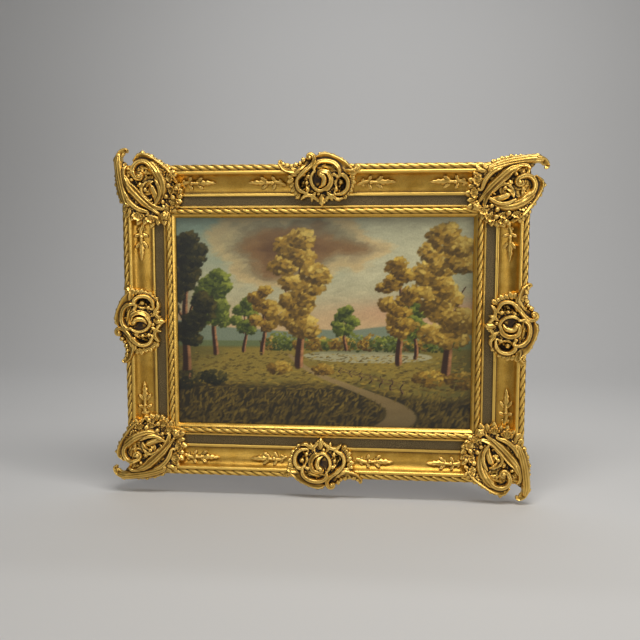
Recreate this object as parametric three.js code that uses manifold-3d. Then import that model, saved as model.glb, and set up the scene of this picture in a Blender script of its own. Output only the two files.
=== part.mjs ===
// Oil painting on a stretched canvas in a carved and gilded rococo-revival frame.
//
// Millimetres. +X is to the right, +Z is up and the painting faces -Y. The origin is the
// middle of the hanger plate on the back of the top rail, the rearmost face of the object,
// so Y = 0 is the wall.
//
// Every front piece is drawn in a side frame, the same for all four sides: x runs along the
// rail, z is up towards its outer edge and v is the height above the frame's back. Side 0 is
// the top, and sides 1, 2 and 3 are the right, the bottom and the left, each one a quarter
// turn clockwise. A rail's profile is given by u, the distance inward from its outer edge.
import * as THREE from "three";
import { SimplifyModifier } from "three/addons/modifiers/SimplifyModifier.js";
import { mergeVertices } from "three/addons/utils/BufferGeometryUtils.js";
import Module from "manifold-3d";

const wasm = await Module();
wasm.setup();

// ---- driving dimensions
const CANVAS_WIDTH = 700;
const CANVAS_HEIGHT = 500;
const CANVAS_THICK = 1.7;
const RAIL_WIDTH = 120;
const RABBET_WIDTH = 8;
const RABBET_DEPTH = 19.3;
const EDGE_PLAY = 0.5; // room between the canvas edge and the rabbet
const GAP = 0.3; // between neighbouring pieces
const HANGER_DEPTH = 3; // from the frame's back to the wall
const ROPE_PITCH = 22; // one twist of the two carved ropes
const CASTING_BACK = 36; // back of a casting where it stands past the frame's edge

const SIGHT_WIDTH = CANVAS_WIDTH + 2 * (EDGE_PLAY - RABBET_WIDTH);
const SIGHT_HEIGHT = CANVAS_HEIGHT + 2 * (EDGE_PLAY - RABBET_WIDTH);
const OUTER_WIDTH = SIGHT_WIDTH + 2 * RAIL_WIDTH;
const OUTER_HEIGHT = SIGHT_HEIGHT + 2 * RAIL_WIDTH;
const HANGER_INSET = 62; // the hanger's height below the frame's outer edge
const CENTRE_Z = HANGER_INSET - OUTER_HEIGHT / 2;
const SIDES = ["top", "right", "bottom", "left"];
const CORNERS = ["top_left", "top_right", "bottom_right", "bottom_left"];

// ---- rail profile, [u, v] from the outer edge over the front to the lip and the back.
// A rope band is four points: its two edges stay straight and its two ridges rise in turn.
const OUTER_ROPE = [[0.5, 36], [3.5, 45], [10, 50], [14.5, 50]];
const INNER_ROPE = [[99, 29.5], [102, 34], [107, 35], [110.5, 31]];
const ROPE_RELIEF = 2.6;
const BACK_EDGE = [[6, 0], [0, 28]];
const RIM_AND_SCOOP = [
  [18, 52], [22, 50.5], [25, 45], [31, 38.5], [40, 33.5], [51, 30.5], [64, 29.5],
];
const FLAT_BANDS = [
  [65.5, 32.5], [71.5, 32.5], [72.5, 28.5], [92.5, 28.5], [93.5, 31.5], [98, 31.5],
];
const LIP = [
  [RAIL_WIDTH, 22],
  [RAIL_WIDTH, RABBET_DEPTH],
  [RAIL_WIDTH - RABBET_WIDTH, RABBET_DEPTH],
  [RAIL_WIDTH - RABBET_WIDTH, 0],
];
// The bands of a rail in order. A rope band's pitch is set by its own length.
const RAIL_BANDS = [
  { points: BACK_EDGE },
  { points: OUTER_ROPE, rope: true },
  { points: RIM_AND_SCOOP },
  { points: FLAT_BANDS },
  { points: INNER_ROPE, rope: true },
  { points: LIP },
];

// ---- materials
const finish = (color, roughness, metalness) => () =>
  new THREE.MeshStandardMaterial({ color, roughness, metalness });
const gildedRail = finish(0xc9952f, 0.38, 0.85);
const gildedOrnament = finish(0xc08f38, 0.35, 0.9);
const paintedCanvas = finish(0x7d7440, 0.5, 0);
const bareWood = finish(0xb08a5a, 0.8, 0);
const steel = finish(0xa9a59c, 0.4, 0.9);

// ---- solids
function toSolid(geometry) {
  const bare = geometry.clone();
  bare.deleteAttribute("normal");
  bare.deleteAttribute("uv");
  const merged = mergeVertices(bare, 1e-4);
  const vertProperties = new Float32Array(merged.getAttribute("position").array);
  const triVerts = new Uint32Array(merged.getIndex().array);
  return new wasm.Manifold(new wasm.Mesh({ numProp: 3, vertProperties, triVerts }));
}

function toGeometry(solid) {
  const mesh = solid.getMesh();
  const geometry = new THREE.BufferGeometry();
  geometry.setAttribute("position", new THREE.Float32BufferAttribute(mesh.vertProperties, 3));
  geometry.setIndex([...mesh.triVerts]);
  geometry.computeVertexNormals();
  return geometry;
}

function fromTriangles(points, triangles) {
  const geometry = new THREE.BufferGeometry();
  geometry.setAttribute("position", new THREE.Float32BufferAttribute(points.flat(), 3));
  geometry.setIndex(triangles.flat());
  geometry.computeVertexNormals();
  return geometry;
}

// The mirror image of a geometry across x = 0, its triangles wound the right way round again.
function mirrorImage(geometry) {
  const { array } = geometry.getAttribute("position");
  const points = Array.from(array, (value, i) => (i % 3 ? value : -value));
  const corners = [...geometry.getIndex().array].reverse();
  return fromTriangles([points], [corners]);
}

// Joins rings of equally many points into a closed skin, with a fan over the first and last.
function loft(rings) {
  const count = rings[0].length;
  const points = rings.flat();
  const triangles = [];
  for (let ring = 0; ring + 1 < rings.length; ring++) {
    for (let i = 0; i < count; i++) {
      const a = ring * count + i;
      const b = ring * count + (i + 1) % count;
      triangles.push([a, b, b + count], [a, b + count, a + count]);
    }
  }
  const last = (rings.length - 1) * count;
  for (let i = 1; i + 1 < count; i++) {
    triangles.push([0, i + 1, i], [last, last + i, last + i + 1]);
  }
  return toSolid(fromTriangles(points, triangles));
}

// ---- rails
// One mitred rail of the given outer length, with both ropes carved into its sweep.
function railGeometry(outerLength) {
  const points = [];
  const edges = []; // one row of point numbers along the rail for each profile point
  const along = (u, t) => t * (outerLength / 2 - u - GAP / Math.SQRT2);
  for (const band of RAIL_BANDS) {
    const middle = band.points[Math.floor(band.points.length / 2)][0];
    const twists = Math.round((outerLength - 2 * middle) / ROPE_PITCH);
    const steps = band.rope ? 2 * twists : 1;
    band.points.forEach(([u, v], place) => {
      const row = [];
      for (let i = 0; i <= steps; i++) {
        const ridge = band.rope && (place === 1 || place === 2);
        const dip = ridge && (i + place) % 2 === 0 ? ROPE_RELIEF : 0;
        row.push(points.length);
        points.push([along(u, 2 * i / steps - 1), -v + dip, -u]);
      }
      edges.push(row);
    });
  }
  const triangles = [];
  edges.forEach((near, place) => {
    const far = edges[(place + 1) % edges.length];
    triangles.push(...strip(near, far));
  });
  const outlineAt = (end) => edges.map((row) => {
    const [, y, z] = points[row.at(end)];
    return new THREE.Vector2(z, y);
  });
  for (const [a, b, c] of THREE.ShapeUtils.triangulateShape(outlineAt(0), [])) {
    triangles.push([edges[a][0], edges[b][0], edges[c][0]]);
  }
  for (const [a, b, c] of THREE.ShapeUtils.triangulateShape(outlineAt(-1), [])) {
    triangles.push([edges[c].at(-1), edges[b].at(-1), edges[a].at(-1)]);
  }
  return fromTriangles(points, triangles);
}

// Triangles between two rows that run the same way, stepping along whichever is behind. Where
// both are level the far row steps first, which slants a rope's strands inward towards +x.
function strip(near, far) {
  const triangles = [];
  let i = 0;
  let j = 0;
  while (i < near.length - 1 || j < far.length - 1) {
    const nearNext = (i + 1) / (near.length - 1);
    const farNext = (j + 1) / (far.length - 1);
    if (nearNext < farNext) {
      triangles.push([near[i], far[j], near[i + 1]]);
      i++;
    } else {
      triangles.push([near[i], far[j], far[j + 1]]);
      j++;
    }
  }
  return triangles;
}

// ---- castings: gilded compo ornaments, drawn as [x, z] in the side frame's plane
const CORNER_FACETS = 395; // triangles of a corner casting before the frame is cut from it
const CENTRE_FACETS = 320;
const SPRAY_FACETS = 46;
const FOOT = 12; // a casting's body is drawn down to here and then cut off by the frame
const SINK = 13; // how far a ridge's edges lie below its crest, inside the body
const ROUNDING = 6; // the most that a ridge falls away from its crest to its edges
const LONGER_LEAF = 5; // how far every other leaf of a fan stands past the rest
const CURL_SHRINK = 0.4; // a volute's last radius over its first
const PATH_STEP = 1.5;

// How high a casting's body and a spray's leaves stand at each distance u inward, as [u, v].
const BODY_HEIGHT = [[-36, 46], [0, 52], [18, 57], [42, 51], [72, 43], [100, 40], [140, 34]];
const SPRAY_HEIGHT = [[20, 51], [28, 45], [36, 40], [46, 36.5], [62, 34.5]];

function heightFrom(table, u) {
  const next = Math.max(1, table.findIndex(([at]) => at > u));
  const [u0, v0] = table[next - 1];
  const [u1, v1] = table[next];
  return THREE.MathUtils.mapLinear(Math.max(u, u0), u0, u1, v0, v1);
}

const cornerHeight = (x, z) => heightFrom(BODY_HEIGHT, Math.min(x, -z));
const cartoucheHeight = (x, z) => heightFrom(BODY_HEIGHT, -z);
const sprayHeight = (x, z) => heightFrom(SPRAY_HEIGHT, -z);

// A curve through a few points, with a volute on its end: curl is [radius, turn in degrees].
function pathOf(points, curl) {
  const places = points.map(([x, z]) => new THREE.Vector3(x, 0, z));
  const curve = new THREE.CatmullRomCurve3(places, false, "centripetal");
  const steps = Math.ceil(curve.getLength() / PATH_STEP);
  const path = curve.getSpacedPoints(steps).map((place) => [place.x, place.z]);
  if (!curl) return path;
  const [radius, turn] = [curl[0], THREE.MathUtils.degToRad(curl[1])];
  const tangent = curve.getTangent(1);
  let heading = Math.atan2(tangent.z, tangent.x);
  let [x, z] = path.at(-1);
  for (let turned = 0; turned < Math.abs(turn);) {
    const shrunk = radius * (1 - (1 - CURL_SHRINK) * turned / Math.abs(turn));
    turned += PATH_STEP / shrunk;
    heading += Math.sign(turn) * PATH_STEP / shrunk;
    x += Math.cos(heading) * PATH_STEP;
    z += Math.sin(heading) * PATH_STEP;
    path.push([x, z]);
  }
  return path;
}

// A rounded ridge along a path that tapers to both ends: a scroll, or a leaf that comes to a point.
function ridge({ points, curl, width, rise, leaf = false }, height) {
  const path = pathOf(points, curl);
  const rings = path.map(([x, z], i) => {
    const t = i / (path.length - 1);
    const [x0, z0] = path[Math.max(i - 1, 0)];
    const [x1, z1] = path[Math.min(i + 1, path.length - 1)];
    const angle = Math.atan2(z1 - z0, x1 - x0);
    const scroll = Math.min(1, 0.45 + 4 * t, 0.4 + 1.6 * (1 - t));
    const swell = leaf ? Math.sin(Math.PI * (0.22 + 0.76 * t)) : scroll;
    const half = swell * width / 2;
    const [sideX, sideZ] = [-Math.sin(angle) * half, Math.cos(angle) * half];
    const at = (side, v) => [x + side * sideX, -v, z + side * sideZ];
    const crest = height(x, z) + rise * (0.2 + 0.8 * swell);
    const edge = crest - Math.min(half * 0.9, ROUNDING);
    return [at(1, crest - SINK), at(1, edge), at(0, crest), at(-1, edge), at(-1, crest - SINK)];
  });
  return loft(rings);
}

// The body of a casting: a crowned cushion inside its outline, seen from the front anticlockwise.
function body({ outline, centre, crown }, height) {
  const ring = (share, lift) => outline.map(([x, z]) => {
    const [px, pz] = [centre[0] + share * (x - centre[0]), centre[1] + share * (z - centre[1])];
    return [px, -height(px, pz) - lift, pz];
  });
  const foot = outline.map(([x, z]) => [x, -FOOT, z]);
  return loft([foot, ring(1, -9), ring(0.85, -2), ring(0.4, crown)]);
}

// A hollow pressed into a casting.
function hollow({ at: [x, z], radii: [rx, rz], depth }, height) {
  const bowl = new THREE.SphereGeometry(1, 10, 6);
  bowl.scale(rx, 2 * depth, rz);
  bowl.translate(x, -height(x, z) - depth, z);
  return toSolid(bowl);
}

// Leaf tips that fan out of a casting's body and give it its ragged edge.
function leafFan({ centre, reach, from, to, count, length, width }, height) {
  const leaves = [];
  for (let i = 0; i < count; i++) {
    const heading = THREE.MathUtils.degToRad(from + (to - from) * i / (count - 1));
    const out = (more) => [
      centre[0] + (reach[0] + more) * Math.cos(heading),
      centre[1] + (reach[1] + more) * Math.sin(heading),
    ];
    const longer = i % 2 ? LONGER_LEAF : 0;
    const points = [out(longer - length), out(longer)];
    leaves.push(ridge({ points, width, rise: 0, leaf: true }, height));
  }
  return leaves;
}

// A space that castings keep out of: the frame with its ropes filled in, and all that is behind
// CASTING_BACK past its edge, round a square frame whose top left corner is at [left, 0].
const COVER = [
  [-70, -5], [-70, CASTING_BACK], [-GAP, CASTING_BACK], [3, 45.6], [10, 50.6], [18, 52.4],
  [22.3, 50.9], [31.3, 38.9], [51, 32.9], [98, 32.9], [107, 35.5], [121, 22.3], [121, -5],
];
const SQUARE = 1000;

function keepOut(left) {
  const rings = [[0, 0], [1, 0], [1, -1], [0, -1]].map(([right, down]) => {
    const [inX, inZ] = [right ? -1 : 1, down ? 1 : -1];
    const [x, z] = [left + right * SQUARE, down * SQUARE];
    return COVER.map(([u, v]) => [x + inX * u, -v, z + inZ * u]);
  });
  const count = COVER.length;
  const triangles = [];
  for (let turn = 0; turn < 4; turn++) {
    for (let i = 0; i < count; i++) {
      const [a, b] = [turn * count + i, turn * count + (i + 1) % count];
      const [c, d] = [(turn + 1) % 4 * count + i, (turn + 1) % 4 * count + (i + 1) % count];
      triangles.push([a, b, d], [a, d, c]);
    }
  }
  return toSolid(fromTriangles(rings.flat(), triangles));
}

const largest = (solid) => solid.decompose().sort((a, b) => b.volume() - a.volume())[0];

// Joins a casting's forms, takes it down to about `facets` triangles, presses it onto the frame
// and keeps the one outer shell.
async function pressed({ base, ridges = [], fans = [], hollows = [] }, height, facets, frame) {
  const forms = ridges.map((shape) => ridge(shape, height));
  fans.forEach((shape) => forms.push(...leafFan(shape, height)));
  if (base) {
    const bowls = hollows.map((shape) => hollow(shape, height));
    forms.push(body(base, height).subtract(wasm.Manifold.union(bowls)));
  }
  const fine = toGeometry(largest(wasm.Manifold.union(forms)));
  fine.deleteAttribute("normal");
  const points = fine.getAttribute("position").count;
  const coarse = await new SimplifyModifier().modify(fine, Math.max(0, points - facets / 2));
  return toGeometry(largest(toSolid(coarse).subtract(frame)));
}

// The corner casting: [0, 0] is the frame's outer corner.
const CORNER = {
  base: {
    outline: [
      [8, -104], [34, -124], [66, -128], [96, -116], [126, -98], [132, -60], [127, -32], [108, -10],
      [88, 6], [70, 18], [46, 20], [28, 6], [8, 6], [-8, -4], [-9, -40], [-3, -72],
    ],
    centre: [58, -52],
    crown: 0,
  },
  hollows: [
    { at: [60, -16], radii: [20, 13], depth: 4.5 },
  ],
  ridges: [
    // the hooked leaf past the corner
    { points: [[-4, -14], [-8, 2], [-5, 17], [2, 27], [9, 32]], curl: [8, -80], width: 12, rise: 1 },
    // two upright ribs down the outer edge
    {
      points: [[13, 2], [3, 5], [-6, -4], [-7, -22], [-4, -44], [1, -66], [4, -82]],
      curl: [7, 200], width: 9, rise: 4,
    },
    { points: [[8, -8], [3, -24], [5, -42], [14, -62], [24, -84], [34, -112]], width: 9, rise: 3 },
    // the great C-scroll and its eye
    { points: [[68, 3], [52, 7], [38, 2], [31, -9], [32, -22]], curl: [10, 260], width: 9, rise: 6 },
    // the crest over it, running down to the rail
    {
      points: [[30, 8], [40, 20], [51, 23], [68, 16], [88, 4], [108, -14], [124, -32]],
      width: 15, rise: 3,
    },
    // the inner comma and the long band under it
    { points: [[82, -86], [86, -68], [80, -51], [68, -46]], curl: [9, 230], width: 10, rise: 8 },
    { points: [[62, -33], [80, -34], [96, -50], [101, -70], [100, -94]], width: 11, rise: 7 },
    { points: [[22, -46], [36, -68], [54, -86], [76, -102], [100, -113]], width: 13, rise: 6 },
  ],
  fans: [
    { centre: [62, -60], reach: [78, 78], from: 12, to: -30, count: 4, length: 26, width: 21 },
    { centre: [62, -60], reach: [76, 78], from: -70, to: -136, count: 5, length: 26, width: 21 },
    { centre: [54, -6], reach: [30, 33], from: 106, to: 34, count: 4, length: 16, width: 13 },
  ],
};

// The cartouche in the middle of a side: [0, 0] is on the frame's outer edge.
const CARTOUCHE = {
  base: {
    outline: [
      [-40, -76], [-18, -84], [0, -88], [30, -84], [54, -70], [66, -50], [66, -26], [56, -6],
      [36, 6], [10, 16], [-10, 18], [-30, 10], [-48, -8], [-64, -30], [-60, -56],
    ],
    centre: [2, -36],
    crown: 2,
  },
  hollows: [
    { at: [-42, -43], radii: [8, 13], depth: 8 },
    { at: [47, -46], radii: [10, 14], depth: 8 },
    { at: [18, -8], radii: [19, 9], depth: 4.5 },
  ],
  ridges: [
    // the S-scroll on the left, its volute at the top
    {
      points: [[-64, -40], [-56, -30], [-45, -18], [-32, -6], [-22, 5]],
      curl: [8, 250], width: 9, rise: 5,
    },
    // the crest and its long slope to the right
    {
      points: [[-16, 8], [-6, 17], [14, 11], [36, 2], [54, -7], [70, -14]],
      curl: [8, 130], width: 14, rise: 3,
    },
    // the great C-scroll inside it
    {
      points: [[-9, -18], [-7, -5], [4, 3], [22, 4], [36, -3], [42, -16]],
      curl: [7, -150], width: 8, rise: 6,
    },
    // the comma on the boss and the ridge beside it
    { points: [[-4, -56], [12, -50], [17, -36], [10, -24]], curl: [8, 240], width: 10, rise: 8 },
    { points: [[-14, -18], [-21, -34], [-15, -54]], width: 8, rise: 4 },
    // the rims of the two pockets
    { points: [[-34, -27], [-48, -31], [-54, -44], [-46, -57], [-32, -64]], width: 7, rise: 4 },
    { points: [[36, -28], [52, -27], [61, -40], [59, -56], [46, -67], [32, -70]], width: 8, rise: 4 },
    // the wing leaf on the left
    { points: [[-44, -14], [-66, -15], [-84, -11], [-93, -2]], curl: [9, -40], width: 13, rise: 0 },
    // the garland below and its drop
    { points: [[-40, -66], [-24, -80], [-4, -88]], width: 10, rise: 3 },
    { points: [[44, -74], [24, -84], [4, -88]], width: 10, rise: 3 },
    { points: [[0, -74], [0, -94]], width: 13, rise: 4, leaf: true },
  ],
  fans: [
    { centre: [0, -40], reach: [70, 58], from: 172, to: 222, count: 5, length: 22, width: 16 },
    { centre: [0, -40], reach: [70, 58], from: 12, to: -38, count: 5, length: 22, width: 16 },
  ],
};

// A spray of leaves lying in the scoop: a stem, two pairs of side leaves and a pointed tip. It
// starts at x = 0 on the end that is nearer its casting.
const SPRAY_LENGTH = 86;
const SPRAY_Z = -43; // the middle of the scoop
const pairOfLeaves = (x, forward, out) => [1, -1].map((side) => ({
  points: [[x, SPRAY_Z], [x + forward, SPRAY_Z + side * out]], width: 10, rise: 2, leaf: true,
}));
const SPRAY = {
  ridges: [
    { points: [[0, SPRAY_Z - 4], [20, SPRAY_Z + 2], [50, SPRAY_Z - 1]], width: 8, rise: 3 },
    ...pairOfLeaves(24, 5, 15),
    ...pairOfLeaves(44, 12, 12),
    { points: [[40, SPRAY_Z], [SPRAY_LENGTH, SPRAY_Z + 1]], width: 12, rise: 3, leaf: true },
  ],
};
const SPRAY_FROM_CORNER = 134; // from the frame's outer corner to a spray's stem
const SPRAY_FROM_MIDDLE = 82; // from the middle of a long rail to a spray's stem

const group = new THREE.Group();
const sideGroups = SIDES.map((name, side) => {
  const sideGroup = new THREE.Group();
  sideGroup.rotation.y = side * Math.PI / 2;
  sideGroup.position.set(0, -HANGER_DEPTH, CENTRE_Z);
  group.add(sideGroup);
  return sideGroup;
});
const lengthOf = (side) => (side % 2 ? OUTER_HEIGHT : OUTER_WIDTH);
const reachOf = (side) => (side % 2 ? OUTER_WIDTH : OUTER_HEIGHT) / 2;

function addToSide(side, name, geometry, material, x, z) {
  const mesh = new THREE.Mesh(geometry, material);
  mesh.name = name;
  mesh.position.set(x, 0, z);
  sideGroups[side].add(mesh);
}

SIDES.forEach((name, side) => {
  addToSide(side, `rail_${name}`, railGeometry(lengthOf(side)), gildedRail(), 0, reachOf(side));
});

const sideFrame = keepOut(-SQUARE / 2);
const cornerCasting = await pressed(CORNER, cornerHeight, CORNER_FACETS, keepOut(0));
const cartouche = await pressed(CARTOUCHE, cartoucheHeight, CENTRE_FACETS, sideFrame);
SIDES.forEach((name, side) => {
  const corner = `corner_${CORNERS[side]}`;
  addToSide(side, corner, cornerCasting, gildedOrnament(), -lengthOf(side) / 2, reachOf(side));
  addToSide(side, `cartouche_${name}`, cartouche, gildedOrnament(), 0, reachOf(side));
});

// Sprays reach in from both corners of every rail, and out from the long rails' cartouches. One
// that runs towards -x is the mirror image of one that runs towards +x.
const spray = await pressed(SPRAY, sprayHeight, SPRAY_FACETS, sideFrame);
const mirroredSpray = mirrorImage(spray);
SIDES.forEach((name, side) => {
  const half = lengthOf(side) / 2;
  const starts = { start: [SPRAY_FROM_CORNER - half, 1], end: [half - SPRAY_FROM_CORNER, -1] };
  if (side % 2 === 0) {
    starts.mid_start = [-SPRAY_FROM_MIDDLE, -1];
    starts.mid_end = [SPRAY_FROM_MIDDLE, 1];
  }
  for (const [place, [x, way]] of Object.entries(starts)) {
    const geometry = way > 0 ? spray : mirroredSpray;
    addToSide(side, `spray_${name}_${place}`, geometry, gildedOrnament(), x, reachOf(side));
  }
});

// ---- canvas on its stretcher
const STRETCHER_WIDTH = 45;
const STRETCHER_THICK = RABBET_DEPTH - CANVAS_THICK - 2 * GAP;
const FOLD_ROOM = 2; // all round, for the canvas that is folded over the stretcher's edge

// A plain plate of the given size with its middle at [x, v, z], v above the frame's back.
function addPlate(name, [width, thick, height], [x, v, z], material) {
  const mesh = new THREE.Mesh(new THREE.BoxGeometry(width, thick, height), material);
  mesh.name = name;
  mesh.position.set(x, -HANGER_DEPTH - v, CENTRE_Z + z);
  group.add(mesh);
}

const canvasFront = RABBET_DEPTH - GAP;
const canvasSize = [CANVAS_WIDTH, CANVAS_THICK, CANVAS_HEIGHT];
addPlate("canvas", canvasSize, [0, canvasFront - CANVAS_THICK / 2, 0], paintedCanvas());

// One mitred stretcher bar, drawn as the top bar of its side.
function stretcherBar(length) {
  const shape = new THREE.Shape();
  const half = length / 2 - GAP;
  shape.moveTo(-half, 0);
  shape.lineTo(-half + STRETCHER_WIDTH, -STRETCHER_WIDTH);
  shape.lineTo(half - STRETCHER_WIDTH, -STRETCHER_WIDTH);
  shape.lineTo(half, 0);
  const bar = new THREE.ExtrudeGeometry(shape, { depth: STRETCHER_THICK, bevelEnabled: false });
  return bar.rotateX(Math.PI / 2);
}

SIDES.forEach((name, side) => {
  const [along, across] = side % 2 ? [CANVAS_HEIGHT, CANVAS_WIDTH] : [CANVAS_WIDTH, CANVAS_HEIGHT];
  const bar = stretcherBar(along - 2 * FOLD_ROOM);
  addToSide(side, `stretcher_${name}`, bar, bareWood(), 0, across / 2 - FOLD_ROOM);
});

// ---- fittings on the back
const CLIP_SIZE = [18, 1.4, 62]; // width, thickness, length across the joint
const HANGER_WIDTH = 64;
const HANGER_HEIGHT = 14;
const HANGER_RISER = 40; // width of its raised middle
const HANGER_SHEET = 1.4;
const TOOTH = 3;

// A retaining clip on each side, from the rail's back over the stretcher's.
SIDES.forEach((name, side) => {
  const clip = new THREE.BoxGeometry(...CLIP_SIZE);
  clip.translate(0, GAP + CLIP_SIZE[1] / 2, 0);
  const edge = (side % 2 ? CANVAS_WIDTH : CANVAS_HEIGHT) / 2;
  addToSide(side, `clip_${name}`, clip, steel(), 0, edge);
});

// The hanger: a bent strip whose raised middle has teeth along its lower edge for the nail.
function hangerGeometry() {
  const foot = GAP - HANGER_DEPTH;
  const half = HANGER_RISER / 2;
  const bend = half + 2;
  const leftEnd = [
    [-half, 0], [-bend, foot + HANGER_SHEET], [-HANGER_WIDTH / 2, foot + HANGER_SHEET],
    [-HANGER_WIDTH / 2, foot], [-bend, foot], [1 - half, -HANGER_SHEET],
  ];
  const rightEnd = leftEnd.map(([x, y]) => [-x, y]).reverse();
  const outline = [...leftEnd, ...rightEnd].map(([x, y]) => new THREE.Vector2(x, y));
  const section = new THREE.Shape(outline);
  const strip = new THREE.ExtrudeGeometry(section, { depth: HANGER_HEIGHT, bevelEnabled: false });
  strip.translate(0, 0, -HANGER_HEIGHT / 2);
  const notches = [];
  for (let x = 3 * TOOTH - half; x < half - 2 * TOOTH; x += 2 * TOOTH) {
    const notch = new THREE.CylinderGeometry(TOOTH, TOOTH, 4 * HANGER_DEPTH, 3);
    notch.translate(x, 0, -HANGER_HEIGHT / 2);
    notches.push(toSolid(notch));
  }
  return toGeometry(toSolid(strip).subtract(wasm.Manifold.union(notches)));
}

const hanger = new THREE.Mesh(hangerGeometry(), steel());
hanger.name = "hanger";
group.add(hanger);

export default group;
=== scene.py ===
"""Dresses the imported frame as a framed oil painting.

Carving is drawn as fields of height over a side frame, the same one as the solids use: x runs
along a rail, z is up towards its outer edge and v is the height above the frame's back.
Everything up to place() is in millimetres.
"""
import math

import bpy
import numpy as np
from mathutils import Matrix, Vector


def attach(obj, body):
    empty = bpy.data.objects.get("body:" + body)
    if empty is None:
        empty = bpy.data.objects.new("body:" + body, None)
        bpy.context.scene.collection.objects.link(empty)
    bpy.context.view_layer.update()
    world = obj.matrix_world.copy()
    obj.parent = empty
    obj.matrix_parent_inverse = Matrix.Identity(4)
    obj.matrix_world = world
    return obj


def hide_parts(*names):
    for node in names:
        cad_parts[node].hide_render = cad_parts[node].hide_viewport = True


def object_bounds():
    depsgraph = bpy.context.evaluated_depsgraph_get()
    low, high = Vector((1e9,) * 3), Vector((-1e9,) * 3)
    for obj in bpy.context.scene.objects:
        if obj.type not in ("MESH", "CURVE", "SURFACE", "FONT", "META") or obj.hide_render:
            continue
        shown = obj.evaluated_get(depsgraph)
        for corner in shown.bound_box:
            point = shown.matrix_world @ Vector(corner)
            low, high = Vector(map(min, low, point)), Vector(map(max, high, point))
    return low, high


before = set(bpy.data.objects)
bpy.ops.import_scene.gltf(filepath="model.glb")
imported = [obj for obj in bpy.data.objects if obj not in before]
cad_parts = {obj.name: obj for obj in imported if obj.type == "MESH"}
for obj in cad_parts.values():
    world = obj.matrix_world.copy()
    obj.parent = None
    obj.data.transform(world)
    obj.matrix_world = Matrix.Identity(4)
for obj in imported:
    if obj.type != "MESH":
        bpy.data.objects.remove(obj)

CAD_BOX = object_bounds()

# ---- the frame's dimensions, in millimetres
LENGTHS = [925, 725, 925, 725]  # outer lengths of the top, right, bottom and left rails
SIDES = ["top", "right", "bottom", "left"]
CORNERS = ["top_left", "top_right", "bottom_right", "bottom_left"]
HANGER_DEPTH = 3  # from the frame's back to the wall
CENTRE_Z = 62 - 725 / 2
CASTING_BACK = 36
GAP = 0.3
STEP = 0.8  # grid of the carved fields
EMPTY = -100.0  # a field's height where nothing stands


def reach_of(side):
    return LENGTHS[(side + 1) % 4] / 2


def place(points, side, x=0.0, z=0.0):
    """Points [x, z, v] of a side frame, moved by x and z, as [X, Y, Z] of the part in metres."""
    points = np.asarray(points, float)
    px, pz = points[:, 0] + x, points[:, 1] + z
    turn = side * math.pi / 2
    out = np.empty_like(points)
    out[:, 0] = px * math.cos(turn) + pz * math.sin(turn)
    out[:, 1] = -points[:, 2] - HANGER_DEPTH
    out[:, 2] = -px * math.sin(turn) + pz * math.cos(turn) + CENTRE_Z
    return out / 1000


def make_mesh(name, points, faces, materials, smooth_angle=None):
    mesh = bpy.data.meshes.new(name)
    faces = np.asarray(faces, np.int32)
    mesh.vertices.add(len(points))
    mesh.vertices.foreach_set("co", np.asarray(points, np.float32).ravel())
    mesh.loops.add(faces.size)
    mesh.loops.foreach_set("vertex_index", faces.ravel())
    mesh.polygons.add(len(faces))
    mesh.polygons.foreach_set("loop_start", np.arange(len(faces), dtype=np.int32) * faces.shape[1])
    mesh.polygons.foreach_set("use_smooth", np.ones(len(faces), bool))
    mesh.update(calc_edges=True)
    mesh.validate()
    if smooth_angle:
        mesh.set_sharp_from_angle(angle=math.radians(smooth_angle))
    for material in materials:
        mesh.materials.append(material)
    piece = bpy.data.objects.new(name, mesh)
    bpy.context.scene.collection.objects.link(piece)
    return piece


def set_values(piece, name, values):
    attribute = piece.data.attributes.new(name, "FLOAT", "POINT")
    attribute.data.foreach_set("value", np.asarray(values, np.float32))


def finish_piece(piece, slot, *nodes):
    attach(piece, "root")
    if nodes:
        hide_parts(*nodes)


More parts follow.
